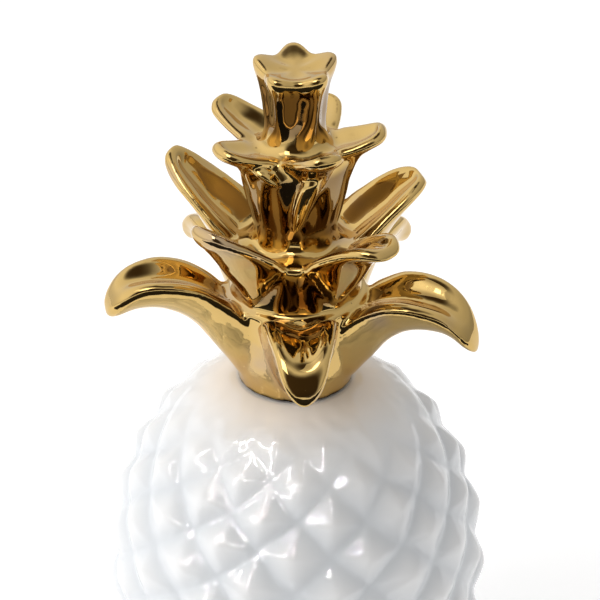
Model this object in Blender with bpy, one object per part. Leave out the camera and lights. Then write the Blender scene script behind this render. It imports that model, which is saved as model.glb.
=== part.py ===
"""A ceramic pineapple ornament: a white glazed fruit covered with pyramid studs, and a gold crown of leaves.

The body is one casting: a flat foot, a round fruit whose surface is a lattice of four-sided pyramids,
and a flat seat at the top. The crown is a second casting that stands on the seat: a turned core with
three tiers of five dished leaves and a fluted bud. Driving sizes are in millimetres, +Z up, the origin
at the middle of the foot. Azimuth 0 faces -Y, the front, and grows towards +X.
"""

import math
from collections import namedtuple

import bmesh
import bpy

MM = 0.001
GAP = 0.3  # between the crown's foot and its seat

# Body: outline over the crests of the studs
EQUATOR_RADIUS = 64.2
EQUATOR_HEIGHT = 62.0
SEAT_RADIUS = 20.0
SEAT_HEIGHT = 137.5
FOOT_RADIUS = 36.0
UPPER_POWERS = (2.22, 2.36)  # height, radius: a round shoulder, nearly flat at the seat
LOWER_POWER = 2.4
FOOT_EDGE = 1.6  # rounding where the side meets the foot

# Studs: half a cell is one column wide and one row tall
CELLS_AROUND = 14
STEPS = 2  # mesh steps in half a cell
FIRST_ROW = 5.5  # surface length from the seat's edge to row 0
ROW_LENGTH = 11.7
ROWS = 14
ROW_TWIST = -1.0  # degrees each row turns against the one above
LATTICE_AZIMUTH = 16.6
ROW_TILT = 4.0  # how far the rows run out of level, each way
END_ROWS = 2  # rows over which the tilt fades in and out again
STUD_RELIEF = 3.8
PLAIN_SHOULDER = 2.0  # surface length from row 0 with no relief
RELIEF_GROWTH = 36.0  # and then until the relief is full
PLAIN_FOOT = 3.0  # surface length above the foot with no relief
FOOT_GROWTH = 26.0  # and then until the relief is full

# Crown: heights from the seat
CROWN_BASE = SEAT_HEIGHT + GAP
CORE_SIDES = 35
LEAVES_ROUND = 5  # in each tier; the bud has as many ribs
BUD_AZIMUTH = 40.0  # of a rib
BUD_RIB_DEPTH = 0.13
BUD_RIB_SHARPNESS = 1.3  # below 2, the ribs are narrower than the flutes between them
BUD_START = 88.0  # height where the ribs begin
BUD_RISE = 10.0  # and then until they are full
BUD_LIP = 104.0  # height where the lip begins to rise over the ribs and sink over the flutes
BUD_LIP_RISE = 6.0  # and then until it does so in full
BUD_WAVE = 0.9  # by this much
BUD_DISH = 9.0  # radius inside which the lip's wave dies out
BUD_TILT = 0.12  # how far the lip sinks towards the front, beside its radius
LEAF_SIDES = 12
LEAF_STATIONS = 11

# Turned core of the crown: radius, height above the crown's base
CORE_PROFILE = (
    (17.6, 0.0), (18.8, 0.9), (19.3, 4.0), (20.2, 12.0), (21.4, 20.0), (22.8, 28.0), (23.3, 31.6),
    (22.6, 33.4), (21.2, 33.8), (20.8, 36.0), (21.4, 42.0), (22.4, 47.5), (22.6, 50.6), (21.0, 52.2),
    (17.6, 52.4), (14.6, 53.2), (13.7, 56.5), (15.0, 62.0), (16.6, 68.5), (17.6, 75.0), (17.8, 80.0),
    (16.6, 83.8), (14.6, 85.4), (12.2, 86.2), (10.4, 88.4), (9.9, 93.0), (10.0, 98.0), (10.8, 103.4),
    (11.8, 107.4), (12.4, 110.2), (12.0, 112.2), (10.4, 112.8), (7.6, 111.6), (3.5, 110.6),
)
# Cups between the tiers: the height of the lip, and the azimuth of a notch between two leaves
CUPS = ((52.0, -1.0), (84.8, -19.0))
CUP_DEPTH = 1.6  # how far the lip drops in the middle of a leaf
CUP_REACH = 5.0  # heights within this of the lip drop with it

# A tier's station is one place along its leaves: the distance out, the rim's height above the crown's
# base, the half width, how far the face dips between the rims, and how far the keel lies below the rims.
# A tier's tip growth is the power of the share of its length by which a leaf leaves the tier's own shape,
# and its tip start the share of that length where a leaf's end starts to round off.
Station = namedtuple("Station", "out rim half_width dip keel")
Tier = namedtuple("Tier", "name slope rim_thickness keel_power tip_growth tip_start stations leaves")
# A leaf: its azimuth, the reach of its tip beside the tier's own, how much higher it ends, its roll
Leaf = namedtuple("Leaf", "azimuth reach lift roll")

TIERS = (
    Tier(
        "lower", 0.0, 5.4, 0.8, 1.5, 0.88,
        (
            Station(8.0, 24.0, 9.0, 1.0, 20.0),
            Station(17.0, 29.5, 12.3, 2.0, 28.0),
            Station(25.0, 38.0, 12.4, 3.8, 26.0),
            Station(34.0, 44.5, 11.8, 4.6, 19.0),
            Station(44.0, 47.4, 10.8, 4.2, 14.5),
            Station(54.0, 46.4, 8.6, 3.0, 12.0),
            Station(63.0, 39.0, 6.2, 1.2, 8.5),
        ),
        (
            Leaf(2.6, 0.975, -7.6, 0.0),
            Leaf(71.3, 0.97, -14.0, -14.0),
            Leaf(143.3, 0.93, -10.5, 0.0),
            Leaf(-144.7, 0.95, -10.5, 0.0),
            Leaf(-72.7, 1.0, 0.0, 0.0),
        ),
    ),
    Tier(
        "middle", 50.0, 5.4, 1.3, 4.0, 0.76,
        (
            Station(5.0, 38.0, 8.0, 1.0, 14.5),
            Station(10.0, 46.0, 11.0, 2.0, 15.5),
            Station(18.6, 55.2, 13.4, 4.0, 13.5),
            Station(26.0, 61.2, 12.0, 4.6, 10.4),
            Station(33.0, 66.4, 10.2, 3.4, 8.0),
            Station(38.8, 70.6, 7.6, 2.4, 7.0),
            Station(43.6, 73.4, 6.6, 1.2, 5.8),
        ),
        (
            Leaf(41.0, 1.0, -9.2, 0.0),
            Leaf(107.0, 0.95, -5.2, 0.0),
            Leaf(174.0, 1.0, -2.0, 0.0),
            Leaf(-114.5, 0.985, 0.6, 0.0),
            Leaf(-43.0, 0.93, -2.0, 0.0),
        ),
    ),
    Tier(
        "upper", 58.0, 5.0, 1.3, 1.5, 0.74,
        (
            Station(2.0, 62.0, 7.0, 0.5, 11.0),
            Station(5.0, 72.0, 8.5, 1.0, 12.0),
            Station(8.5, 83.6, 9.0, 1.8, 12.4),
            Station(12.9, 87.0, 9.4, 2.5, 10.0),
            Station(18.0, 88.8, 8.6, 3.0, 7.8),
            Station(22.5, 90.6, 7.4, 2.4, 6.6),
            Station(26.0, 92.2, 6.0, 1.6, 5.8),
            Station(28.4, 93.2, 5.2, 0.9, 5.2),
        ),
        (
            Leaf(20.0, 0.93, 1.0, 0.0),
            Leaf(86.0, 0.93, -1.2, 0.0),
            Leaf(160.0, 0.99, -3.6, 0.0),
            Leaf(-122.8, 0.98, 0.9, 0.0),
            Leaf(-57.6, 0.95, -1.5, 0.0),
        ),
    ),
)
TIP_LEAN = 0.06  # share of its slope that a leaf's end gains for each millimetre that it is lifted
SECTION_POWER = 3.2  # squareness of a leaf's section
TIP_RISE = 1.2  # how far a sloping leaf's end closes towards its rims and not its middle
RIM_INNER = 0.86  # share of the half width where the channel between the rims begins
CHANNEL_END = 0.8  # share of a leaf's length where its channel begins to fill up
CHANNEL_CLOSE = 0.16  # and then until it is full

# Drips under the upper leaves: azimuth, radius, height and half width where one starts and where it ends
DRIPS = (
    ((16.0, 20.2, 82.5, 4.4), (-1.0, 16.4, 61.0, 1.8)),
    ((-38.0, 19.6, 84.5, 4.2), (-18.0, 18.6, 78.5, 2.4)),
)
DRIP_BULGE = 0.8  # a drip's thickness beside its width
DRIP_SIDES = 8
DRIP_STATIONS = 6


def clear_scene():
    for item in list(bpy.data.objects):
        bpy.data.objects.remove(item, do_unlink=True)


def new_object(name, shape, material=None):
    mesh = bpy.data.meshes.new(name)
    bmesh.ops.recalc_face_normals(shape, faces=shape.faces)
    shape.to_mesh(mesh)
    shape.free()
    item = bpy.data.objects.new(name, mesh)
    if material:
        mesh.materials.append(material)
    bpy.context.scene.collection.objects.link(item)
    return item


def glazed(name, colour, roughness, metallic):
    material = bpy.data.materials.new(name)
    material.use_nodes = True
    shader = material.node_tree.nodes["Principled BSDF"]
    shader.inputs["Base Color"].default_value = (*colour, 1.0)
    shader.inputs["Roughness"].default_value = roughness
    shader.inputs["Metallic"].default_value = metallic
    return material


def place(azimuth, radius, height):
    """A point in metres from an azimuth in degrees and sizes in millimetres."""
    turn = math.radians(azimuth)
    return (radius * math.sin(turn) * MM, -radius * math.cos(turn) * MM, height * MM)


def body_outline(steps=200):
    """Radius and height over the crests, from the edge of the seat down to the foot."""
    height_power, radius_power = UPPER_POWERS
    at_seat = (1 - (SEAT_RADIUS / EQUATOR_RADIUS) ** radius_power) ** (1 / height_power)
    upper = (SEAT_HEIGHT - EQUATOR_HEIGHT) / at_seat
    at_foot = (1 - (FOOT_RADIUS / EQUATOR_RADIUS) ** LOWER_POWER) ** (1 / LOWER_POWER)
    lower = EQUATOR_HEIGHT / at_foot
    points = []
    for i in range(steps + 1):
        radius = SEAT_RADIUS + (EQUATOR_RADIUS - SEAT_RADIUS) * math.sin(math.pi / 2 * i / steps)
        share = max(0.0, 1 - (radius / EQUATOR_RADIUS) ** radius_power)
        points.append((radius, EQUATOR_HEIGHT + upper * share ** (1 / height_power)))
    for i in range(1, steps + 1):
        drop = EQUATOR_HEIGHT * math.sin(math.pi / 2 * i / steps)
        radius = EQUATOR_RADIUS * (1 - (drop / lower) ** LOWER_POWER) ** (1 / LOWER_POWER)
        points.append((radius, EQUATOR_HEIGHT - drop))
    return points


class Outline:
    """The body's outline, read by the length of surface from the seat's edge."""

    def __init__(self, points):
        self.points = points
        self.lengths = [0.0]
        for (r0, z0), (r1, z1) in zip(points, points[1:]):
            self.lengths.append(self.lengths[-1] + math.hypot(r1 - r0, z1 - z0))
        self.total = self.lengths[-1]

    def at(self, length):
        """Radius, height and outward normal at a length."""
        length = min(max(length, 0.0), self.total)
        k = 1
        while k < len(self.lengths) - 1 and self.lengths[k] < length:
            k += 1
        (r0, z0), (r1, z1) = self.points[k - 1], self.points[k]
        span = self.lengths[k] - self.lengths[k - 1]
        share = (length - self.lengths[k - 1]) / span
        return (
            r0 + (r1 - r0) * share,
            z0 + (z1 - z0) * share,
            (z0 - z1) / span,
            (r1 - r0) / span,
        )


def ramp(value, start, length):
    share = min(max((value - start) / length, 0.0), 1.0)
    return share * share * (3 - 2 * share)


def stud_height(column, row):
    """0 on a stud's apex and -1 along the grooves, which run both ways through the even crossings."""
    falling = abs((column - row + 1) % 2 - 1)
    rising = abs((column + row + 1) % 2 - 1)
    return min(falling, rising) - 1


def body_point(outline, column, row):
    azimuth = LATTICE_AZIMUTH + column * 180 / CELLS_AROUND + row * ROW_TWIST
    length = FIRST_ROW + row * ROW_LENGTH
    inner = ramp(row, 0, END_ROWS) * (1 - ramp(row, ROWS - END_ROWS, END_ROWS))
    length += ROW_TILT * math.sin(math.radians(azimuth)) * inner
    radius, height, out, up = outline.at(length)
    relief = STUD_RELIEF * ramp(length, FIRST_ROW + PLAIN_SHOULDER, RELIEF_GROWTH)
    relief *= ramp(outline.total - length, PLAIN_FOOT, FOOT_GROWTH)
    depth = relief * stud_height(column, row)
    return azimuth, radius + out * depth, height + up * depth


def make_body(material):
    outline = Outline(body_outline())
    columns = 2 * CELLS_AROUND * STEPS
    shape = bmesh.new()
    rings = []
    seat = [shape.verts.new(place(360 * i / columns, SEAT_RADIUS, SEAT_HEIGHT)) for i in range(columns)]
    rings.append(seat)
    for j in range(ROWS * STEPS + 1):
        ring = []
        for i in range(columns):
            azimuth, radius, height = body_point(outline, i / STEPS, j / STEPS)
            ring.append(shape.verts.new(place(azimuth, radius, height)))
        rings.append(ring)
    turn = ROWS * ROW_TWIST
    for inset, height in ((0.0, FOOT_EDGE), (FOOT_EDGE, 0.0)):
        ring = []
        for i in range(columns):
            azimuth = LATTICE_AZIMUTH + i * 360 / columns + turn
            ring.append(shape.verts.new(place(azimuth, FOOT_RADIUS - inset, height)))
        rings.append(ring)
    for j, (upper, lower) in enumerate(zip(rings, rings[1:])):
        for i in range(columns):
            k = (i + 1) % columns
            corners = upper[i], lower[i], lower[k], upper[k]
            # A quad is cut along the groove that crosses it or runs beside it
            rising = (i // STEPS + (j - 1) // STEPS) % 2 == 1
            if rising:
                shape.faces.new((corners[0], corners[1], corners[3]))
                shape.faces.new((corners[1], corners[2], corners[3]))
            else:
                shape.faces.new((corners[0], corners[1], corners[2]))
                shape.faces.new((corners[0], corners[2], corners[3]))
    shape.faces.new(rings[0])
    shape.faces.new(rings[-1])
    return new_object("body", shape, material)


def core_point(radius, height, azimuth):
    """A point of the turned core, with the cups' lips notched and the bud ribbed."""
    for lip, notch in CUPS:
        between_notches = (1 - math.cos(math.radians(LEAVES_ROUND * (azimuth - notch)))) / 2
        height -= CUP_DEPTH * between_notches * max(0.0, 1 - abs(height - lip) / CUP_REACH)
    swing = abs(math.sin(math.radians(LEAVES_ROUND / 2 * (azimuth - BUD_AZIMUTH))))
    lip_share = ramp(height, BUD_LIP, BUD_LIP_RISE)
    rib = 1 - 2 * swing ** (BUD_RIB_SHARPNESS + (2 - BUD_RIB_SHARPNESS) * lip_share)
    radius *= 1 + BUD_RIB_DEPTH * ramp(height, BUD_START, BUD_RISE) * rib
    height += BUD_WAVE * lip_share * rib * min(1.0, radius / BUD_DISH)
    height -= BUD_TILT * lip_share * radius * max(0.0, math.cos(math.radians(azimuth)))
    return place(azimuth, radius, CROWN_BASE + height)


def make_core():
    """The crown's core, from the foot to the dish on top of the bud."""
    shape = bmesh.new()
    rings = []
    for radius, height in CORE_PROFILE:
        azimuths = [360 * i / CORE_SIDES for i in range(CORE_SIDES)]
        rings.append([shape.verts.new(core_point(radius, height, azimuth)) for azimuth in azimuths])
    for lower, upper in zip(rings, rings[1:]):
        for i in range(CORE_SIDES):
            k = (i + 1) % CORE_SIDES
            shape.faces.new((lower[i], lower[k], upper[k], upper[i]))
    shape.faces.new(rings[0])
    shape.faces.new(rings[-1])
    return shape


def between(stations, share):
    """The station at a share of the leaf's length, on a smooth curve through the given ones."""
    place_along = share * (len(stations) - 1)
    k = min(int(place_along), len(stations) - 2)
    t = place_along - k
    before = stations[max(k - 1, 0)]
    after = stations[min(k + 2, len(stations) - 1)]
    return Station(
        *(
            b + 0.5 * t * (c - a + t * (2 * a - 5 * b + 4 * c - d + t * (3 * (b - c) + d - a)))
            for a, b, c, d in zip(before, stations[k], stations[k + 1], after)
        )
    )


def leaf_point(tier, leaf, share, turn):
    """A point of a leaf's skin: share runs from root to tip, turn goes once around the section."""
    at = between(tier.stations, share)
    grown = share**tier.tip_growth
    out = at.out * (1 + (leaf.reach - 1) * grown)
    rim = at.rim + leaf.lift * grown
    closing = math.sqrt(max(0.0, 1 - max(0.0, (share - tier.tip_start) / (1 - tier.tip_start)) ** 2))
    c, s = math.cos(turn), math.sin(turn)
    across = math.copysign(abs(c) ** (2 / SECTION_POWER), c)
    side = math.copysign(abs(s) ** (2 / SECTION_POWER), s)
    middle = 1 - across * across
    dip = at.dip * (1 - ramp(share, CHANNEL_END, CHANNEL_CLOSE))
    top = -dip * (1 - ramp(abs(across), 0.0, RIM_INNER))
    bottom = -tier.rim_thickness - (at.keel - tier.rim_thickness) * middle**tier.keel_power
    slope = math.radians(tier.slope * (1 + TIP_LEAN * leaf.lift * grown))
    centre = (top + bottom) / 2 * (1 - TIP_RISE * math.sin(slope) * (1 - closing))
    level = centre + (top - bottom) / 2 * side * closing
    lateral = at.half_width * across * closing
    roll = math.radians(leaf.roll * grown)
    lateral, level = (
        lateral * math.cos(roll) + level * math.sin(roll),
        level * math.cos(roll) - lateral * math.sin(roll),
    )
    radial = out - level * math.sin(slope)
    height = rim + level * math.cos(slope)
    azimuth = math.radians(leaf.azimuth)
    x = radial * math.sin(azimuth) + lateral * math.cos(azimuth)
    y = -radial * math.cos(azimuth) + lateral * math.sin(azimuth)
    return (x * MM, y * MM, (CROWN_BASE + height) * MM)


def make_leaf(tier, leaf):
    """A ball drawn out along the leaf: its poles become the root and the tip."""
    shape = bmesh.new()
    bmesh.ops.create_uvsphere(
        shape, u_segments=LEAF_SIDES, v_segments=LEAF_STATIONS, radius=1.0
    )
    for vert in shape.verts:
        share = (1 + max(-1.0, min(1.0, vert.co.z))) / 2
        vert.co = leaf_point(tier, leaf, share, math.atan2(vert.co.y, vert.co.x))
    return shape


def drip_point(drip, share, turn):
    """A point of a drip's skin: share runs down it, turn goes once around the section."""
    azimuth, radius, height, half_width = [a + (b - a) * share for a, b in zip(*drip)]
    half_width *= (1 - (2 * share - 1) ** 2) ** 0.25
    radial = radius + DRIP_BULGE * half_width * math.sin(turn)
    x, y, z = place(azimuth, radial, CROWN_BASE + height)
    aside = place(azimuth + 90, half_width * math.cos(turn), 0)
    return (x + aside[0], y + aside[1], z)


def make_drip(drip):
    shape = bmesh.new()
    bmesh.ops.create_uvsphere(shape, u_segments=DRIP_SIDES, v_segments=DRIP_STATIONS, radius=1.0)
    for vert in shape.verts:
        share = (1 + max(-1.0, min(1.0, vert.co.z))) / 2
        vert.co = drip_point(drip, share, math.atan2(vert.co.y, vert.co.x))
    return shape


def make_crown(material):
    blanks = bpy.data.collections.new("blanks")
    shapes = {
        f"{tier.name}_leaf_{number}": make_leaf(tier, leaf)
        for tier in TIERS
        for number, leaf in enumerate(tier.leaves, 1)
    }
    shapes.update({f"drip_{number}": make_drip(drip) for number, drip in enumerate(DRIPS, 1)})
    for name, shape in shapes.items():
        blank = new_object(name, shape, material)
        blank.hide_render = True
        blank.display_type = "WIRE"
        blanks.objects.link(blank)
    crown = new_object("crown", make_core(), material)
    join = crown.modifiers.new("join leaves and drips", "BOOLEAN")
    join.operation = "UNION"
    join.solver = "EXACT"
    join.operand_type = "COLLECTION"
    join.collection = blanks
    join.use_self = True
    return crown


def main():
    clear_scene()
    white = glazed("white glaze", (0.82, 0.83, 0.84), 0.12, 0.0)
    gold = glazed("gold lustre", (0.72, 0.48, 0.2), 0.08, 1.0)
    make_body(white)
    make_crown(gold)


main()
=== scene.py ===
# %% [markdown]
# # A ceramic pineapple ornament
# The real object is two glazed castings: a white fruit covered with pyramid studs, and a crown of
# leaves fired with gold lustre. Both are smooth, glossy and a little uneven, so the work is in soft
# edges and in what the glaze and the gold reflect. This first cell loads the fixed frame.

import math
from bisect import bisect_left
from collections import namedtuple
from functools import partial

import bmesh
import bpy
from mathutils import Matrix, Vector, noise


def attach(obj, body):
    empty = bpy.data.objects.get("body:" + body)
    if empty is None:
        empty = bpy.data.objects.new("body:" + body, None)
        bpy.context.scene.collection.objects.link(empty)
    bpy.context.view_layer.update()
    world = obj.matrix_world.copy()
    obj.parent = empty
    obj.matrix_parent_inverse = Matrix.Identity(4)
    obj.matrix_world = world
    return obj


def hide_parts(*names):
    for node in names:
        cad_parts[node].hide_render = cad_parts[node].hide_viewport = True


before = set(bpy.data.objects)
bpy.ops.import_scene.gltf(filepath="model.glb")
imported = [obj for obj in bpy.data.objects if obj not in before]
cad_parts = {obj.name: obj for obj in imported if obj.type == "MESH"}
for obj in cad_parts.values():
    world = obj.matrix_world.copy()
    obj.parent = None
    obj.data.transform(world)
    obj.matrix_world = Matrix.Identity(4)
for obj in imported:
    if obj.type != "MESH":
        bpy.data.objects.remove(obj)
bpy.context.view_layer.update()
MM = 0.001

# %% [markdown]
# ## Places, ways and soft steps
# Sizes are written in millimetres and turns in degrees, with azimuth 0 towards the front. Both pieces
# are made by moving the points of a simple shape, so these helpers come first: a place round the
# axis, a way from it, a soft step between 0 and 1, and a smooth curve through given points.

# %% Helpers for places
def ramp(value, start, length):
    """0 before start, 1 after start + length, a smooth step between."""
    share = min(max((value - start) / length, 0.0), 1.0)
    return share * share * (3 - 2 * share)


def place(azimuth, radius, height):
    """Metres from an azimuth in degrees and sizes in millimetres."""
    turn = math.radians(azimuth)
    return Vector((radius * math.sin(turn), -radius * math.cos(turn), height)) * MM


def toward(azimuth, elevation):
    """The way from the object to an azimuth and an elevation in degrees, one metre long."""
    turn = math.radians(azimuth)
    rise = math.radians(elevation)
    return Vector((math.cos(rise) * math.sin(turn), -math.cos(rise) * math.cos(turn), math.sin(rise)))


def between(points, share):
    """The point at a share of the way along a smooth curve through the given ones."""
    along = share * (len(points) - 1)
    k = min(int(along), len(points) - 2)
    t = along - k
    before = points[max(k - 1, 0)]
    after = points[min(k + 2, len(points) - 1)]
    return tuple(
        b + 0.5 * t * (c - a + t * (2 * a - 5 * b + 4 * c - d + t * (3 * (b - c) + d - a)))
        for a, b, c, d in zip(before, points[k], points[k + 1], after)
    )


print("50 mm in front of the axis and 20 mm up:", place(0.0, 50.0, 20.0))

# %% [markdown]
# ## Objects
# Every piece ends the same way: doubles merged, normals facing out, faces shaded smooth, one object at
# the origin with its place in its mesh. One function covers that, and a smaller one adds any object.

# %% Helpers for objects
def add_object(name, data):
    item = bpy.data.objects.new(name, data)
    bpy.context.scene.collection.objects.link(item)
    return item


def finished(name, shape):
    """Turns a bmesh into an object: welded, facing out, smooth."""
    bmesh.ops.remove_doubles(shape, verts=shape.verts, dist=0.001 * MM)
    bmesh.ops.recalc_face_normals(shape, faces=shape.faces)
    mesh = bpy.data.meshes.new(name)
    shape.to_mesh(mesh)
    shape.free()
    mesh.shade_smooth()
    return add_object(name, mesh)


print("helpers ready")

# %% [markdown]
# ## Camera
# The photograph looks down on the crown and cuts the fruit off near its middle. A camera that turns
# about a point near the object's axis is easy to read: a distance, an elevation, and how many pixels
# one metre measures there. The lens follows from the distance and that scale.

# %% Camera
IMAGE_SIZE = 600
SENSOR = 36.0
CAMERA_ELEVATION = 31.2
CAMERA_DISTANCE = 0.918
PIXELS_PER_METRE = 3117
AIM = Vector((0.0014, 0.0, 0.1653))

camera = add_object("camera", bpy.data.cameras.new("camera"))
camera.data.sensor_width = SENSOR
camera.data.lens = SENSOR * PIXELS_PER_METRE * CAMERA_DISTANCE / IMAGE_SIZE
camera.location = AIM + CAMERA_DISTANCE * toward(0.0, CAMERA_ELEVATION)
camera.rotation_euler = (math.radians(90 - CAMERA_ELEVATION), 0, 0)
bpy.context.scene.camera = camera
print("camera at", [round(v, 3) for v in camera.location], "lens", round(camera.data.lens, 1))

# %% [markdown]
# ## The fruit's outline
# The model for such a fruit is turned before its studs are carved, so its outline over the crests
# comes first. Two superellipse arcs meet at the widest level: they need few values and have no kink.

# %% Outline of the fruit
EQUATOR_RADIUS = 64.2
EQUATOR_HEIGHT = 62.0
SEAT_RADIUS = 20.0
SEAT_HEIGHT = 137.5
FOOT_RADIUS = 36.0
UPPER_POWERS = (2.22, 2.36)
LOWER_POWER = 2.4
OUTLINE_STEPS = 400


def body_outline(steps):
    """Radius and height from the seat's edge down to the foot's."""
    height_power, radius_power = UPPER_POWERS
    at_seat = (1 - (SEAT_RADIUS / EQUATOR_RADIUS) ** radius_power) ** (1 / height_power)
    upper = (SEAT_HEIGHT - EQUATOR_HEIGHT) / at_seat
    at_foot = (1 - (FOOT_RADIUS / EQUATOR_RADIUS) ** LOWER_POWER) ** (1 / LOWER_POWER)
    lower = EQUATOR_HEIGHT / at_foot
    points = []
    for i in range(steps + 1):
        radius = SEAT_RADIUS + (EQUATOR_RADIUS - SEAT_RADIUS) * math.sin(math.pi / 2 * i / steps)
        share = max(0.0, 1 - (radius / EQUATOR_RADIUS) ** radius_power)
        points.append((radius, EQUATOR_HEIGHT + upper * share ** (1 / height_power)))
    for i in range(1, steps + 1):
        drop = EQUATOR_HEIGHT * math.sin(math.pi / 2 * i / steps)
        radius = EQUATOR_RADIUS * (1 - (drop / lower) ** LOWER_POWER) ** (1 / LOWER_POWER)
        points.append((radius, EQUATOR_HEIGHT - drop))
    return points


OUTLINE = body_outline(OUTLINE_STEPS)
print("outline:", len(OUTLINE), "points from", OUTLINE[0], "to", OUTLINE[-1])

# %% [markdown]
# ## Reading the outline
# The rows of studs are spaced along the surface and not by height, so the outline is read by the
# length of surface from the seat's edge.

# %% Outline by length
LENGTHS = [0.0]
for (r0, z0), (r1, z1) in zip(OUTLINE, OUTLINE[1:]):
    LENGTHS.append(LENGTHS[-1] + math.hypot(r1 - r0, z1 - z0))


def outline_at(length):
    """Radius, height and outward normal at a length of surface."""
    length = min(max(length, 0.0), LENGTHS[-1])
    k = max(bisect_left(LENGTHS, length), 1)
    (r0, z0), (r1, z1) = OUTLINE[k - 1], OUTLINE[k]
    span = LENGTHS[k] - LENGTHS[k - 1]
    share = (length - LENGTHS[k - 1]) / span
    return r0 + (r1 - r0) * share, z0 + (z1 - z0) * share, (z0 - z1) / span, (r1 - r0) / span


print("outline length", round(LENGTHS[-1], 1), "mm")

# %% [markdown]
# ## The shape of a stud
# Grooves run both ways round the fruit and cut it into four-sided pyramids. A stud's height is the
# smaller of two ramps, one for each family of grooves. A hard minimum gives knife edges, but glaze
# rounds every edge by about a millimetre, so both the ramps and the minimum are softened.

# %% Stud
SOFT_GROOVE = 0.17
SOFT_RIDGE = 0.26
STUD_ROUNDNESS = 1.4


def wave(position):
    """About 0 on a groove and 1 half a stud away, rounded at both ends."""
    return math.hypot(position % 2 - 1, SOFT_GROOVE)


def stud_height(column, row):
    """About 0 on a stud's tip and -1 in a groove, for a place counted in half studs."""
    falling = wave(column - row + 1)
    rising = wave(column + row + 1)
    drop = 1 - (falling + rising - math.hypot(falling - rising, SOFT_RIDGE)) / 2
    return -max(0.0, drop) ** STUD_ROUNDNESS


print("stud height in a groove and at the tip:", round(stud_height(0, 0), 2), round(stud_height(1, 0), 2))

# %% [markdown]
# ## The lattice on the fruit
# The real rows lean a little and are not quite even, as hand-carved ones are. So the lattice twists
# slowly from row to row, tilts from side to side, and is pulled about by a slow noise. The studs fade
# out at the shoulder and at the foot. Each point also keeps two numbers for the glaze's colour: how
# deep it lies in a groove, for painted shade, and how near it is to the gold, for a painted reflection.

# %% A point of the skin
CELLS_AROUND = 14
ROWS = 14
FIRST_ROW = 5.5
ROW_LENGTH = 11.7
ROW_TWIST = -1.0
ROW_TILT = 4.0
LATTICE_AZIMUTH = 16.6
END_ROWS = 2
STUD_RELIEF = 3.8
PLAIN_SHOULDER = 2.0
RELIEF_GROWTH = 36.0
PLAIN_FOOT = 3.0
FOOT_GROWTH = 26.0
WARP_SIZE = 17.0
WARP = 0.16
# The rows read the same noise from a place this far off, so that the two pulls differ.
WARP_SHIFT = Vector((0.0, 0.0, 40.0))
GLAZE_WAVE_SIZE = 4.5
GLAZE_WAVE = 0.2
# How far from the seat's edge the painted reflection of the gold reaches on the glaze.
GOLD_REFLECTION_REACH = 18.0


def body_point(column, row):
    """Place, depth of groove and nearness to the gold, for a place counted in half studs."""
    azimuth = LATTICE_AZIMUTH + column * 180 / CELLS_AROUND + row * ROW_TWIST
    length = FIRST_ROW + row * ROW_LENGTH
    inner = ramp(row, 0, END_ROWS) * (1 - ramp(row, ROWS - END_ROWS, END_ROWS))
    length += ROW_TILT * math.sin(math.radians(azimuth)) * inner
    radius, height, out, up = outline_at(length)
    crest = place(azimuth, radius, height) / MM
    column += WARP * noise.noise(crest / WARP_SIZE)
    row += WARP * noise.noise(crest / WARP_SIZE + WARP_SHIFT)
    relief = STUD_RELIEF * ramp(length, FIRST_ROW + PLAIN_SHOULDER, RELIEF_GROWTH)
    relief *= ramp(LENGTHS[-1] - length, PLAIN_FOOT, FOOT_GROWTH)
    depth = relief * stud_height(column, row)
    # How deep a point lies in a groove; the glaze's painted shade follows it.
    groove = -depth / STUD_RELIEF
    depth -= GLAZE_WAVE * (1 + noise.noise(crest / GLAZE_WAVE_SIZE))
    # Near the crown the glaze's colour is warmed and lightened as a painted reflection of the gold.
    near_gold = 1 - ramp(radius, SEAT_RADIUS, GOLD_REFLECTION_REACH)
    return place(azimuth, radius + out * depth, height + up * depth), groove, near_gold


print("studs around:", CELLS_AROUND, "rows:", ROWS)

# %% [markdown]
# ## The fruit's skin
# The skin is a flat grid first. One loop bends it round the outline and pushes the grooves in, and
# merging the doubles welds the seam. A finer grid than the studs need keeps the grooves smooth.

# %% Skin
HALF_STUD_STEPS = 14


def make_skin():
    columns = 2 * CELLS_AROUND * HALF_STUD_STEPS
    rows = ROWS * HALF_STUD_STEPS
    shape = bmesh.new()
    bmesh.ops.create_grid(shape, x_segments=columns, y_segments=rows, size=0.5)
    # These two attributes carry the glaze's painted shade in the grooves and its painted reflection of
    # the gold.
    groove = shape.verts.layers.float.new("groove")
    near_gold = shape.verts.layers.float.new("near_gold")
    for vert in shape.verts:
        i = round((vert.co.x + 0.5) * columns)
        j = round((0.5 - vert.co.y) * rows)
        point = body_point(i % columns / HALF_STUD_STEPS, j / HALF_STUD_STEPS)
        vert.co, vert[groove], vert[near_gold] = point
    bmesh.ops.remove_doubles(shape, verts=shape.verts, dist=0.001 * MM)
    return shape


fruit_shape = make_skin()
rims = [edge for edge in fruit_shape.edges if edge.is_boundary]
seat_rim = [edge for edge in rims if edge.verts[0].co.z > EQUATOR_HEIGHT * MM]
foot_rim = [edge for edge in rims if edge.verts[0].co.z < EQUATOR_HEIGHT * MM]
print("rim edges:", len(seat_rim), len(foot_rim))

# %% [markdown]
# ## Seat and foot
# The two open rims are extruded inwards and closed with a face. The seat is a flat disc under the
# crown. The foot turns under in a small quarter circle, because a foot that is wiped clean of glaze
# has a soft edge, and it stands flat.

# %% Close the fruit
FOOT_EDGE = 1.6
FOOT_EDGE_TURNS = range(0, 91, 15)


def close_rim(shape, rim, rings):
    """Carries an open rim through further rings, each a radius and a height, and closes it."""
    for radius, height in rings:
        grown = bmesh.ops.extrude_edge_only(shape, edges=rim)["geom"]
        for vert in [item for item in grown if isinstance(item, bmesh.types.BMVert)]:
            flat = Vector((vert.co.x, vert.co.y, 0))
            vert.co = flat.normalized() * radius * MM + Vector((0, 0, height * MM))
        rim = [item for item in grown if isinstance(item, bmesh.types.BMEdge)]
    bmesh.ops.contextual_create(shape, geom=rim)


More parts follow.
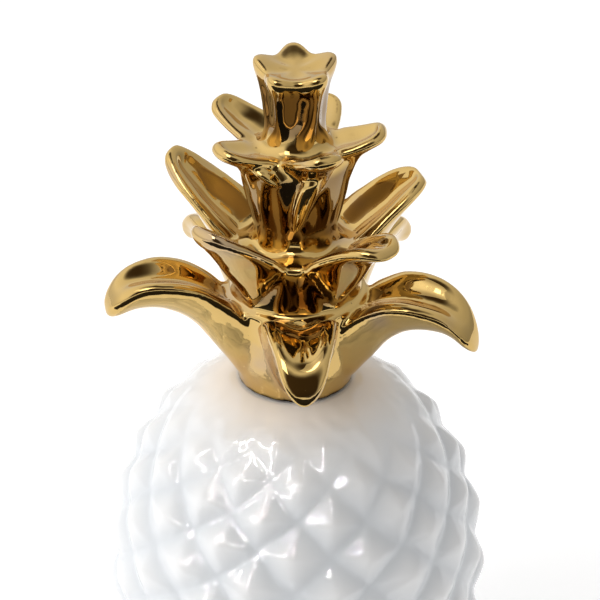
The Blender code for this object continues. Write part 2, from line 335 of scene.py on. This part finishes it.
foot_arc = []
for turn in [math.radians(degrees) for degrees in FOOT_EDGE_TURNS]:
    foot_arc.append((FOOT_RADIUS - FOOT_EDGE * (1 - math.cos(turn)), FOOT_EDGE * (1 - math.sin(turn))))
close_rim(fruit_shape, seat_rim, [(SEAT_RADIUS, SEAT_HEIGHT), (SEAT_RADIUS - 1, SEAT_HEIGHT)])
close_rim(fruit_shape, foot_rim, foot_arc)
fruit = finished("fruit_glazed", fruit_shape)
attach(fruit, "root")
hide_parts("body")
print("fruit faces:", len(fruit.data.polygons), [round(v * 1000, 1) for v in fruit.dimensions])

# %% [markdown]
# ## Three tiers of leaves
# Each leaf on the real crown is a shallow dish with a thick round rim. A tier's five leaves share one
# shape, given at a few stations from root to tip. Each station has a distance from the axis, the
# rim's height, half the width, how far the face dips between the rims and how deep the keel lies
# under them. Each leaf then has its own azimuth, reach, lift and roll, because no two are alike.

# %% Lower tier
# slope: the face's tilt in degrees. keel_power: above 1 a sharper keel, below 1 a fuller one.
# tip_growth: how late a leaf's own reach, lift and roll set in. tip_start: where its end rounds off.
Tier = namedtuple("Tier", "slope rim_thickness keel_power tip_growth tip_start stations leaves")
LOWER_TIER = Tier(
    slope=0.0,
    rim_thickness=5.4,
    keel_power=0.8,
    tip_growth=1.5,
    tip_start=0.88,
    stations=(
        (8.0, 24.0, 9.0, 1.0, 20.0),
        (17.0, 29.5, 12.3, 2.0, 28.0),
        (25.0, 38.0, 12.4, 3.8, 26.0),
        (34.0, 44.5, 11.8, 4.6, 19.0),
        (44.0, 47.4, 10.8, 4.2, 14.5),
        (54.0, 46.4, 8.6, 3.0, 12.0),
        (63.0, 39.0, 6.2, 1.2, 8.5),
    ),
    leaves=(
        (2.6, 0.975, -7.6, 0.0),
        (71.3, 0.97, -14.0, -14.0),
        (143.3, 0.93, -10.5, 0.0),
        (-144.7, 0.95, -10.5, 0.0),
        (-72.7, 1.0, 0.0, 0.0),
    ),
)
print("lower tier reaches", LOWER_TIER.stations[-1][0], "mm from the axis")

# %% Middle tier
MIDDLE_TIER = Tier(
    slope=50.0,
    rim_thickness=5.4,
    keel_power=1.3,
    tip_growth=4.0,
    tip_start=0.76,
    stations=(
        (5.0, 38.0, 8.0, 1.0, 14.5),
        (10.0, 46.0, 11.0, 2.0, 15.5),
        (18.6, 55.2, 13.4, 4.0, 13.5),
        (26.0, 61.2, 12.0, 4.6, 10.4),
        (33.0, 66.4, 10.2, 3.4, 8.0),
        (38.8, 70.6, 7.6, 2.4, 7.0),
        (43.6, 73.4, 6.6, 1.2, 5.8),
    ),
    leaves=(
        (41.0, 1.0, -9.2, 0.0),
        (107.0, 0.95, -5.2, 0.0),
        (174.0, 1.0, -2.0, 0.0),
        (-114.5, 0.985, 0.6, 0.0),
        (-43.0, 0.93, -2.0, 0.0),
    ),
)
print("middle tier reaches", MIDDLE_TIER.stations[-1][0], "mm from the axis")

# %% Upper tier
UPPER_TIER = Tier(
    slope=58.0,
    rim_thickness=5.0,
    keel_power=1.3,
    tip_growth=1.5,
    tip_start=0.74,
    stations=(
        (2.0, 62.0, 7.0, 0.5, 11.0),
        (5.0, 72.0, 8.5, 1.0, 12.0),
        (8.5, 83.6, 9.0, 1.8, 12.4),
        (12.9, 87.0, 9.4, 2.5, 10.0),
        (18.0, 88.8, 8.6, 3.0, 7.8),
        (22.5, 90.6, 7.4, 2.4, 6.6),
        (26.0, 92.2, 6.0, 1.6, 5.8),
        (28.4, 93.2, 5.2, 0.9, 5.2),
    ),
    leaves=(
        (20.0, 0.93, 1.0, 0.0),
        (86.0, 0.93, -1.2, 0.0),
        (160.0, 0.99, -3.6, 0.0),
        (-122.8, 0.98, 0.9, 0.0),
        (-57.6, 0.95, -1.5, 0.0),
    ),
)
TIERS = (LOWER_TIER, MIDDLE_TIER, UPPER_TIER)
print("leaves:", sum(len(tier.leaves) for tier in TIERS))

# %% [markdown]
# ## A leaf
# A leaf is drawn out like clay: a ball stretched along the stations, whose poles become root and tip.
# That gives a closed form with a rounded end, which a lofted strip doesn't. Across the leaf the ball
# is squared a little, pressed in between the rims and deepened to a keel below.

# %% Leaf
CROWN_BASE = SEAT_HEIGHT + 0.3
SECTION_POWER = 3.2
RIM_INNER = 0.86
CHANNEL_END = 0.8
CHANNEL_CLOSE = 0.16
TIP_RISE = 1.2
TIP_LEAN = 0.06


def squared(value):
    """A sine or cosine pushed towards 1 or -1, which turns a circle into a rounded square."""
    return math.copysign(abs(value) ** (2 / SECTION_POWER), value)


def leaf_point(tier, leaf, share, turn):
    """A point of a leaf's skin: share runs from root to tip, turn goes once around the section."""
    azimuth, reach, lift, roll = leaf
    out, rim, half_width, dip, keel = between(tier.stations, share)
    grown = share**tier.tip_growth
    out *= 1 + (reach - 1) * grown
    rim += lift * grown
    past = max(0.0, (share - tier.tip_start) / (1 - tier.tip_start))
    closing = math.sqrt(max(0.0, 1 - past**2))
    across = squared(math.cos(turn))
    side = squared(math.sin(turn))
    middle = 1 - across * across
    dip *= 1 - ramp(share, CHANNEL_END, CHANNEL_CLOSE)
    top = -dip * (1 - ramp(abs(across), 0.0, RIM_INNER))
    bottom = -tier.rim_thickness - (keel - tier.rim_thickness) * middle**tier.keel_power
    lean = math.radians(tier.slope * (1 + TIP_LEAN * lift * grown))
    centre = (top + bottom) / 2 * (1 - TIP_RISE * math.sin(lean) * (1 - closing))
    level = centre + (top - bottom) / 2 * side * closing
    lateral = half_width * across * closing
    turned = math.radians(roll * grown)
    lateral, level = (
        lateral * math.cos(turned) + level * math.sin(turned),
        level * math.cos(turned) - lateral * math.sin(turned),
    )
    radial = out - level * math.sin(lean)
    height = CROWN_BASE + rim + level * math.cos(lean)
    return place(azimuth, radial, height) + place(azimuth + 90, lateral, 0)


print("tip of the front leaf:", leaf_point(LOWER_TIER, LOWER_TIER.leaves[0], 1.0, 0.0))

# %% Draw the leaves out
LEAF_AROUND = 72
LEAF_ALONG = 72


def drawn_out(around, along, point_at):
    """A ball drawn out along a path: its poles become the path's two ends."""
    shape = bmesh.new()
    bmesh.ops.create_uvsphere(shape, u_segments=around, v_segments=along, radius=1.0)
    for vert in shape.verts:
        share = (1 + max(-1.0, min(1.0, vert.co.z))) / 2
        vert.co = point_at(share, math.atan2(vert.co.y, vert.co.x))
    return shape


def make_leaves():
    shapes = []
    for tier in TIERS:
        for leaf in tier.leaves:
            shapes.append(drawn_out(LEAF_AROUND, LEAF_ALONG, partial(leaf_point, tier, leaf)))
    return shapes


print("points in one leaf:", LEAF_AROUND * (LEAF_ALONG - 1) + 2)

# %% [markdown]
# ## The crown's core
# The core is turned: a profile spun once around the axis. It makes the foot, the lip of the lowest
# cup, the waist between the tiers and the bud.

# %% Profile of the core
CORE_PROFILE = (
    (0.0, 0.0),
    (17.6, 0.0), (18.8, 0.9), (19.3, 4.0), (20.2, 12.0), (21.4, 20.0), (22.8, 28.0), (23.3, 31.6),
    (22.6, 33.4), (21.2, 33.8), (20.8, 36.0), (21.4, 42.0), (22.4, 47.5), (22.6, 50.6), (21.0, 52.2),
    (17.6, 52.4), (14.6, 53.2), (13.7, 56.5), (15.0, 62.0), (16.6, 68.5), (17.6, 75.0), (17.8, 80.0),
    (16.6, 83.8), (14.6, 85.4), (12.2, 86.2), (10.4, 88.4), (9.9, 93.0), (10.0, 98.0), (10.8, 103.4),
    (11.8, 107.4), (12.4, 110.2), (12.0, 112.2), (10.4, 112.8), (7.6, 111.6), (3.5, 110.6),
    (0.0, 110.4),
)
print("core height", max(height for _, height in CORE_PROFILE), "mm")

# %% [markdown]
# ## Dipping lips and a ribbed bud
# A cup's lip shows only in the gaps between its leaves, so it stands up there and dips under each
# leaf. The bud has five soft ribs, a dished top and a lip that hangs lower in front. All of that is a
# small shift of each point of the turned core, so it is done point by point after the spin.

# %% Core
PROFILE_STEPS = 4
CORE_SIDES = 180
LEAVES_ROUND = 5
# For each cup: the height of its lip, and the azimuth of one gap between leaves.
CUPS = ((52.0, -1.0), (84.8, -19.0))
CUP_DEPTH = 1.6
CUP_REACH = 5.0
BUD_AZIMUTH = 40.0
BUD_RIB_DEPTH = 0.13
BUD_RIB_SHARPNESS = 1.3
BUD_START = 88.0
BUD_RISE = 10.0
BUD_LIP = 104.0
BUD_LIP_RISE = 6.0
BUD_WAVE = 0.9
BUD_DISH = 9.0
BUD_TILT = 0.12


def core_point(radius, height, azimuth):
    """A point of the turned core, with the cups' lips dipping and the bud ribbed."""
    for lip, gap_azimuth in CUPS:
        from_gap = (1 - math.cos(math.radians(LEAVES_ROUND * (azimuth - gap_azimuth)))) / 2
        height -= CUP_DEPTH * from_gap * max(0.0, 1 - abs(height - lip) / CUP_REACH)
    swing = abs(math.sin(math.radians(LEAVES_ROUND / 2 * (azimuth - BUD_AZIMUTH))))
    lip_share = ramp(height, BUD_LIP, BUD_LIP_RISE)
    rib = 1 - 2 * swing ** (BUD_RIB_SHARPNESS + (2 - BUD_RIB_SHARPNESS) * lip_share)
    radius *= 1 + BUD_RIB_DEPTH * ramp(height, BUD_START, BUD_RISE) * rib
    height += BUD_WAVE * lip_share * rib * min(1.0, radius / BUD_DISH)
    height -= BUD_TILT * lip_share * radius * max(0.0, math.cos(math.radians(azimuth)))
    return place(azimuth, radius, CROWN_BASE + height)


def make_core():
    shape = bmesh.new()
    steps = PROFILE_STEPS * (len(CORE_PROFILE) - 1)
    profile = [between(CORE_PROFILE, i / steps) for i in range(steps + 1)]
    points = [shape.verts.new((max(radius, 0.0), 0, height)) for radius, height in profile]
    edges = [shape.edges.new(pair) for pair in zip(points, points[1:])]
    bmesh.ops.spin(
        shape, geom=points + edges, cent=(0, 0, 0), axis=(0, 0, 1), angle=2 * math.pi,
        steps=CORE_SIDES, use_merge=True,
    )
    bmesh.ops.remove_doubles(shape, verts=shape.verts, dist=0.001)
    for vert in shape.verts:
        azimuth = math.degrees(math.atan2(vert.co.x, -vert.co.y))
        vert.co = core_point(math.hypot(vert.co.x, vert.co.y), vert.co.z, azimuth)
    return shape


print("lip of the bud in front:", core_point(12.4, 110.2, 0.0))

# %% [markdown]
# ## Drips of glaze
# Under the upper leaves the glaze ran down before it set, and left a long and a short drip. Each is
# drawn out like a leaf, from a wide start to a narrow end.

# %% Drips
# A drip: azimuth, radius, height and half width where it starts, and the same where it ends.
DRIPS = (
    ((16.0, 20.2, 82.5, 4.4), (-1.0, 16.4, 61.0, 1.8)),
    ((-38.0, 19.6, 84.5, 4.2), (-18.0, 18.6, 78.5, 2.4)),
)
DRIP_BULGE = 0.8
DRIP_END_POWER = 0.25
DRIP_AROUND = 32
DRIP_ALONG = 40


def drip_point(drip, share, turn):
    azimuth, radius, height, half_width = [a + (b - a) * share for a, b in zip(*drip)]
    half_width *= (1 - (2 * share - 1) ** 2) ** DRIP_END_POWER
    radial = radius + DRIP_BULGE * half_width * math.sin(turn)
    across = place(azimuth + 90, half_width * math.cos(turn), 0)
    return place(azimuth, radial, CROWN_BASE + height) + across


def make_drips():
    return [drawn_out(DRIP_AROUND, DRIP_ALONG, partial(drip_point, drip)) for drip in DRIPS]


print("drips:", len(DRIPS))

# %% [markdown]
# ## Joining the crown
# The real crown is one casting, so its leaves, core and drips must become one skin. An exact Boolean
# keeps every crease, but glaze fills creases, so a voxel remesh welds the forms and a smoothing pass
# then rounds each join. A decimation takes out the faces that flat places don't need.

# %% Join
VOXEL = 0.5
SOFTEN = 0.5
SOFTEN_ROUNDS = 26
KEPT_SHARE = 0.4


def make_crown():
    """All the crown's shapes in one bmesh, still crossing each other."""
    shape = make_core()
    for part in make_leaves() + make_drips():
        carrier = bpy.data.meshes.new("carrier")
        part.to_mesh(carrier)
        part.free()
        shape.from_mesh(carrier)
        bpy.data.meshes.remove(carrier)
    return shape


rough = finished("crown_rough", make_crown())
weld = rough.modifiers.new("weld leaves", "REMESH")
weld.mode = "VOXEL"
weld.voxel_size = VOXEL * MM
soften = rough.modifiers.new("glaze softens", "SMOOTH")
soften.factor = SOFTEN
soften.iterations = SOFTEN_ROUNDS
thin_out = rough.modifiers.new("fewer faces", "DECIMATE")
thin_out.ratio = KEPT_SHARE
welded = bpy.data.meshes.new_from_object(rough.evaluated_get(bpy.context.evaluated_depsgraph_get()))
bpy.data.objects.remove(rough, do_unlink=True)
crown_shape = bmesh.new()
crown_shape.from_mesh(welded)
crown_shape.normal_update()
print("welded crown:", len(crown_shape.faces), "faces")

# %% [markdown]
# ## Painted shade on the walls
# The upright walls of the two cups and of the bud mirror the dark room, so their lustre is painted
# browner than on leaves, rims and drips, as painted shade. A colour by height alone would darken the
# leaves too, so a point counts as wall by how close it lies to the core.

# %% Painted shade on the walls
# For each wall: its bottom and top, and its radius at each.
SHADED_WALLS = ((34.5, 50.0, 21.2, 22.6), (55.0, 82.0, 14.2, 18.4), (89.0, 108.5, 10.0, 12.2))
WALL_SHADE_EDGE = 3.0
WALL_MARGIN = 1.6


def shaded(radius, height):
    """How much painted shade a point gets: 1 on the upright walls, 0 on leaves, rims and drips."""
    share = 0.0
    for bottom, top, low_radius, high_radius in SHADED_WALLS:
        wall = low_radius + (high_radius - low_radius) * (height - bottom) / (top - bottom)
        level = ramp(height, bottom, WALL_SHADE_EDGE) * (1 - ramp(height, top - WALL_SHADE_EDGE, WALL_SHADE_EDGE))
        share += level * (1 - ramp(radius, wall, WALL_MARGIN))
    return share


print("browned on the waist:", shaded(15.0, 65.0), "on a leaf:", shaded(30.0, 65.0))

# %% [markdown]
# ## Waves, and the joint line's painted shadow
# A poured casting is never quite even, and gold shows the least wave. Two noises, one slow and one
# finer, push the surface in by fractions of a millimetre, and never out, so the crown doesn't grow
# past its solid's box. The dark line under the foot, partly a real joint and partly painted shadow of
# the gap, has an uneven upper edge.

# %% Waves and marks
# For each noise: its size and its depth.
WAVES = ((11.0, 0.28), (4.0, 0.06))
JOINT_SHADOW_HEIGHT = 0.8
JOINT_SHADOW_EDGE = 0.7
JOINT_SHADOW_UNEVEN = 0.5
JOINT_SHADOW_UNEVEN_SIZE = 4.0

wall_shade = crown_shape.verts.layers.float.new("wall_shade")
joint_shadow = crown_shape.verts.layers.float.new("joint_shadow")
for vert in crown_shape.verts:
    push = sum(depth * (noise.noise(vert.co / (size * MM)) - 1) for size, depth in WAVES)
    height = vert.co.z / MM - CROWN_BASE
    # Painted shade: the upright walls mirror the dark room, so they are coloured browner.
    vert[wall_shade] = shaded(math.hypot(vert.co.x, vert.co.y) / MM, height)
    # Painted shadow at the joint: the foot's lowest millimetre is almost black, partly a real joint line
    # and partly the shadow in the gap.
    height += JOINT_SHADOW_UNEVEN * noise.noise(vert.co / (JOINT_SHADOW_UNEVEN_SIZE * MM))
    vert[joint_shadow] = 1 - ramp(height, JOINT_SHADOW_HEIGHT, JOINT_SHADOW_EDGE)
    vert.co += vert.normal * push * MM
crown = finished("crown_lustred", crown_shape)
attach(crown, "root")
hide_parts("crown")
print("crown faces:", len(crown.data.polygons), [round(v * 1000, 1) for v in crown.dimensions])

# %% [markdown]
# ## Helpers for materials
# Colours are written as sRGB hex values and turned to linear light by one function. One more adds a
# node with its settings and links, so that each material below reads as a short list of steps.

# %% Material helpers
def linear(code):
    """A linear RGBA colour from an sRGB hex code."""
    parts = [int(code[i : i + 2], 16) / 255 for i in (1, 3, 5)]
    return (*[c / 12.92 if c <= 0.04045 else ((c + 0.055) / 1.055) ** 2.4 for c in parts], 1.0)


def add_node(tree, kind, settings=None, **inputs):
    """Adds a node; an input is named, or _ and its number, and is a value or an output socket."""
    node = tree.nodes.new(kind)
    for key, value in (settings or {}).items():
        setattr(node, key, value)
    for key, value in inputs.items():
        socket = node.inputs[int(key[1:])] if key[1:].isdigit() else node.inputs[key.replace("_", " ")]
        if isinstance(value, bpy.types.NodeSocket):
            tree.links.new(value, socket)
        else:
            socket.default_value = value
    return node


def new_material(name):
    material = bpy.data.materials.new(name)
    material.use_nodes = True
    tree = material.node_tree
    return material, tree, tree.nodes["Principled BSDF"]


print("mid grey in linear light:", round(linear("#808080")[0], 3))

# %% [markdown]
# ## White earthenware glaze
# A clear glaze over white slip, fired glossy. To the eye it is nearly pure white. Its colour is painted
# a little greyer in the grooves, as painted shade, and warmer beside the crown, as a painted reflection
# of the gold. Its roughness is close to a mirror's and its IOR is that of a lead-free glaze. A ripple
# about 6 mm wide stands for the faint orange peel of a dipped glaze and breaks up the loops of light.

# %% White glaze
GLAZE_RIPPLE_SIZE = 6.25
GLAZE_RIPPLE = 0.05
BUMP_DEPTH = 0.5


def white_glaze():
    material, tree, shader = new_material("white earthenware glaze")
    where = add_node(tree, "ShaderNodeTexCoord").outputs["Object"]
    # Painted shade: the base colour is greyer the deeper a point lies in a groove.
    groove_shade = add_node(tree, "ShaderNodeAttribute", {"attribute_name": "groove"}).outputs["Fac"]
    tint = add_node(
        tree, "ShaderNodeMix", {"data_type": "RGBA"},
        _0=groove_shade, _6=linear("#EFEFEF"), _7=linear("#D3D7DB"),
    ).outputs[2]
    # Painted reflection: the base colour is warmer and lighter near the crown, for the gold's glow on the
    # glaze.
    gold_reflection = add_node(tree, "ShaderNodeAttribute", {"attribute_name": "near_gold"}).outputs["Fac"]
    tint = add_node(
        tree, "ShaderNodeMix", {"data_type": "RGBA"},
        _0=gold_reflection, _6=tint, _7=linear("#FDF3E8"),
    ).outputs[2]
    ripple = add_node(
        tree, "ShaderNodeTexNoise", Vector=where, Scale=1 / (GLAZE_RIPPLE_SIZE * MM), Detail=1.0
    ).outputs["Fac"]
    bump = add_node(
        tree, "ShaderNodeBump", Height=ripple, Strength=GLAZE_RIPPLE, Distance=BUMP_DEPTH * MM
    ).outputs["Normal"]
    tree.links.new(tint, shader.inputs["Base Color"])
    tree.links.new(bump, shader.inputs["Normal"])
    shader.inputs["Roughness"].default_value = 0.02
    shader.inputs["IOR"].default_value = 1.52
    return material


fruit.data.materials.append(white_glaze())
print("glaze:", fruit.data.materials[0].name)

# %% [markdown]
# ## Fired gold lustre
# Lustre is a film of real gold, brushed over the glaze and fired again. It mirrors like metal, so the
# shader is a metal with little roughness and the default IOR. Where the film is thin, in clouds about
# 22 mm wide, it looks paler and greyer. On the upright walls it is painted browner, as painted shade
# for the dark room they mirror. The line at its foot is almost black, partly a real joint and partly
# painted shadow of the gap. The brush leaves a ripple about 8 mm wide.

# %% Gold lustre
CLOUD_SIZE = 22.22
CLOUD_START = 0.5
CLOUD_FULL = 0.75
LUSTRE_RIPPLE_SIZE = 8.333
LUSTRE_RIPPLE = 0.15


def gold_lustre():
    material, tree, shader = new_material("fired gold lustre")
    where = add_node(tree, "ShaderNodeTexCoord").outputs["Object"]
    cloud = add_node(
        tree, "ShaderNodeTexNoise", Vector=where, Scale=1 / (CLOUD_SIZE * MM), Detail=2.0
    ).outputs["Fac"]
    thin = add_node(
        tree, "ShaderNodeMapRange", {"interpolation_type": "SMOOTHSTEP"},
        Value=cloud, From_Min=CLOUD_START, From_Max=CLOUD_FULL,
    ).outputs["Result"]
    tint = add_node(
        tree, "ShaderNodeMix", {"data_type": "RGBA"},
        _0=thin, _6=linear("#CFAE6C"), _7=linear("#C0A683"),
    ).outputs[2]
    # Painted shade: browner upright walls, and an almost black line at the foot that is partly a real
    # joint and partly painted shadow of the gap.
    for attribute, code in (("wall_shade", "#8E7450"), ("joint_shadow", "#17110C")):
        share = add_node(tree, "ShaderNodeAttribute", {"attribute_name": attribute}).outputs["Fac"]
        tint = add_node(
            tree, "ShaderNodeMix", {"data_type": "RGBA"}, _0=share, _6=tint, _7=linear(code)
        ).outputs[2]
    ripple = add_node(
        tree, "ShaderNodeTexNoise", Vector=where, Scale=1 / (LUSTRE_RIPPLE_SIZE * MM), Detail=1.0
    ).outputs["Fac"]
    bump = add_node(
        tree, "ShaderNodeBump", Height=ripple, Strength=LUSTRE_RIPPLE, Distance=BUMP_DEPTH * MM
    ).outputs["Normal"]
    tree.links.new(tint, shader.inputs["Base Color"])
    tree.links.new(bump, shader.inputs["Normal"])
    shader.inputs["Metallic"].default_value = 1.0
    shader.inputs["Roughness"].default_value = 0.05
    return material


crown.data.materials.append(gold_lustre())
print("lustre:", crown.data.materials[0].name)

# %% [markdown]
# ## Light table
# White ware is photographed on a lit white table, which leaves hardly any shadow and a ground of pure
# white. A large plane that glows a little does the same.

# %% Light table
TABLE_SIZE = 6.0
TABLE_GLOW = 0.34

bpy.ops.mesh.primitive_plane_add(size=TABLE_SIZE, location=(0, 0, 0))
table = bpy.context.object
table.name = "light_table"
table_white, _, shader = new_material("white light table")
shader.inputs["Base Color"].default_value = linear("#FAFAFA")
shader.inputs["Roughness"].default_value = 0.6
shader.inputs["Emission Color"].default_value = (1, 1, 1, 1)
shader.inputs["Emission Strength"].default_value = TABLE_GLOW
table.data.materials.append(table_white)
print("table:", TABLE_SIZE, "m across")

# %% [markdown]
# ## Black card
# A photographer lays a black card in front of gold, just outside the picture, to give it dark edges.
# Only reflections show this one, so it neither shades the table nor enters the view.

# %% Black card
CARD_SIZE = (1.4, 0.7)
CARD_DISTANCE = 0.5

bpy.ops.mesh.primitive_plane_add(size=1.0, location=(0, -CARD_DISTANCE, 1 * MM))
card = bpy.context.object
card.name = "black_card"
card.scale = (*CARD_SIZE, 1.0)
card_black, _, shader = new_material("black card")
shader.inputs["Base Color"].default_value = linear("#1A1613")
shader.inputs["Roughness"].default_value = 0.9
card.data.materials.append(card_black)
for ray in ("camera", "diffuse", "transmission", "volume_scatter", "shadow"):
    setattr(card, "visible_" + ray, False)
print("card:", CARD_SIZE, "m")

# %% [markdown]
# ## The dark side of the room
# Gold shows what stands around it. The room is bright all round except for two round parts, a wide
# one on the camera's side and a softer one overhead, and that dark gives the gold its contrast. The
# dot product of the way looked and the way to a part's middle falls off on all sides of it.

# %% Dark parts of the room
ROOM_WHITE = (1.0, 1.0, 1.0, 1.0)
ROOM_DARK = (0.06, 0.042, 0.025, 1.0)
# For each: its elevation, counted up from the camera's side, and how far from its middle the room is
# fully dark and fully lit again.
DARK_SPOTS = ((24.0, 20.0, 40.0), (96.0, 3.0, 33.0))

world = bpy.data.worlds.new("studio")
bpy.context.scene.world = world
world.use_nodes = True
room = world.node_tree
looked = add_node(room, "ShaderNodeTexCoord").outputs["Generated"]


def dark_spot(elevation, core, edge):
    """1 inside a round part of the room, 0 outside it."""
    nearness = add_node(
        room, "ShaderNodeVectorMath", {"operation": "DOT_PRODUCT"}, _0=looked, _1=toward(0.0, elevation)
    ).outputs["Value"]
    return add_node(
        room, "ShaderNodeMapRange", {"interpolation_type": "SMOOTHSTEP"},
        Value=nearness,
        From_Min=math.cos(math.radians(edge)), From_Max=math.cos(math.radians(core)),
    ).outputs["Result"]


spots = [dark_spot(*spot) for spot in DARK_SPOTS]
darkness = add_node(room, "ShaderNodeMath", {"operation": "MAXIMUM"}, _0=spots[0], _1=spots[1])
walls = add_node(
    room, "ShaderNodeMix", {"data_type": "RGBA"},
    _0=darkness.outputs["Value"], _6=ROOM_WHITE, _7=ROOM_DARK,
).outputs[2]
room.links.new(walls, room.nodes["Background"].inputs["Color"])
print("dark parts of the room:", len(spots))

# %% [markdown]
# ## How bright the room is
# The photograph is lit from the left, and the room is a little dimmer near the table. So the world's
# strength falls from left to right, and rises from the horizon up.

# %% Brightness of the room
LEFT_STRENGTH = 1.28
RIGHT_STRENGTH = 0.54
HORIZON_SHARE = 0.7
HORIZON_TOP = 0.35

ways = add_node(room, "ShaderNodeSeparateXYZ", Vector=looked).outputs
side_light = add_node(
    room, "ShaderNodeMapRange",
    Value=ways["X"], From_Min=-1.0, From_Max=1.0, To_Min=LEFT_STRENGTH, To_Max=RIGHT_STRENGTH,
).outputs["Result"]
horizon = add_node(
    room, "ShaderNodeMapRange", {"interpolation_type": "SMOOTHSTEP"},
    Value=ways["Z"], From_Min=0.0, From_Max=HORIZON_TOP, To_Min=HORIZON_SHARE, To_Max=1.0,
).outputs["Result"]
strength = add_node(room, "ShaderNodeMath", {"operation": "MULTIPLY"}, _0=side_light, _1=horizon)
room.links.new(strength.outputs["Value"], room.nodes["Background"].inputs["Strength"])
bpy.context.scene.view_settings.view_transform = "Standard"
print("room strength from", LEFT_STRENGTH, "at the left to", RIGHT_STRENGTH, "at the right")

# %% [markdown]
# ## Loops of light on the glaze
# The glaze in the photograph shows thin bright loops, bent by each stud, as lit frames leave them. A
# frame is four thin strips round a rectangle that faces the object. The gold shows no such loops, so
# the strips are linked to the fruit alone, and they add nothing to its matt light.

# %% A thin strip of light
STRIP_WIDTH = 0.0042
STRIP_RADIANCE = 230.0

glazed_only = bpy.data.collections.new("glazed only")
glazed_only.objects.link(fruit)


def area_light(name, width, length, power):
    """A rectangular light, still at the origin."""
    light = bpy.data.lights.new(name, "AREA")
    light.shape = "RECTANGLE"
    light.size, light.size_y = width, length
    light.energy = power
    return add_object(name, light)


def led_strip(name, start, end):
    """A thin bright strip from one point to another, facing the object; only glossy surfaces show it."""
    length = (end - start).length
    item = area_light(name, STRIP_WIDTH, length, STRIP_RADIANCE * math.pi * STRIP_WIDTH * length)
    item.location = (start + end) / 2
    along = (end - start).normalized()
    facing = item.location - AIM
    facing = (facing - along * facing.dot(along)).normalized()
    item.rotation_euler = Matrix((along.cross(facing), along, facing)).transposed().to_euler()
    item.visible_diffuse = False
    item.light_linking.receiver_collection = glazed_only


# %% Loops of light
LOOP_DISTANCE = 0.75
LOOP_HALF_WIDTH = 0.24
LOOP_HALF_HEIGHT = 0.36
# For each loop: azimuth and elevation.
LOOPS = ((-14.0, 56.0), (-50.0, 34.0))
CORNERS = ((-1, -1), (1, -1), (1, 1), (-1, 1))


def led_loop(name, azimuth, elevation):
    """Four strips round a rectangle that faces the object."""
    way = toward(azimuth, elevation)
    across = Vector((-way.y, way.x, 0)).normalized() * LOOP_HALF_WIDTH
    upwards = way.cross(across).normalized() * LOOP_HALF_HEIGHT
    middle = AIM + way * LOOP_DISTANCE
    corners = [middle + across * a + upwards * b for a, b in CORNERS]
    for i, corner in enumerate(corners):
        led_strip(f"{name}_strip_{i + 1}", corner, corners[(i + 1) % len(corners)])


for number, loop in enumerate(LOOPS, 1):
    led_loop(f"loop_{number}", *loop)
print("loops of light:", len(LOOPS))

# %% [markdown]
# ## Softboxes
# Three softboxes do the rest. A large one overhead lights the tops. A fill at the left lights the
# fruit, but a square of it on the gold would look wrong, so glossy surfaces don't see it. A small
# window gives the gold a few bright faces, and is linked to the crown alone.

# %% Softboxes
def softbox(name, azimuth, elevation, distance, size, power):
    """A rectangular light that faces the object; angles in degrees, sizes in metres, power in watts."""
    item = area_light(name, *size, power)
    way = toward(azimuth, elevation)
    item.location = AIM + way * distance
    item.rotation_euler = way.to_track_quat("Z", "Y").to_euler()
    return item


softbox("overhead", -60.0, 70.0, 1.8, (1.2, 1.2), 2.5)
fill = softbox("fill", -64.0, 26.0, 1.2, (0.8, 0.8), 4.4)
fill.visible_glossy = False
gold_only = bpy.data.collections.new("gold only")
gold_only.objects.link(crown)
window = softbox("window", -24.0, 56.0, 0.9, (0.3, 0.4), 1.1)
window.light_linking.receiver_collection = gold_only
print("lights:", len(bpy.data.lights))
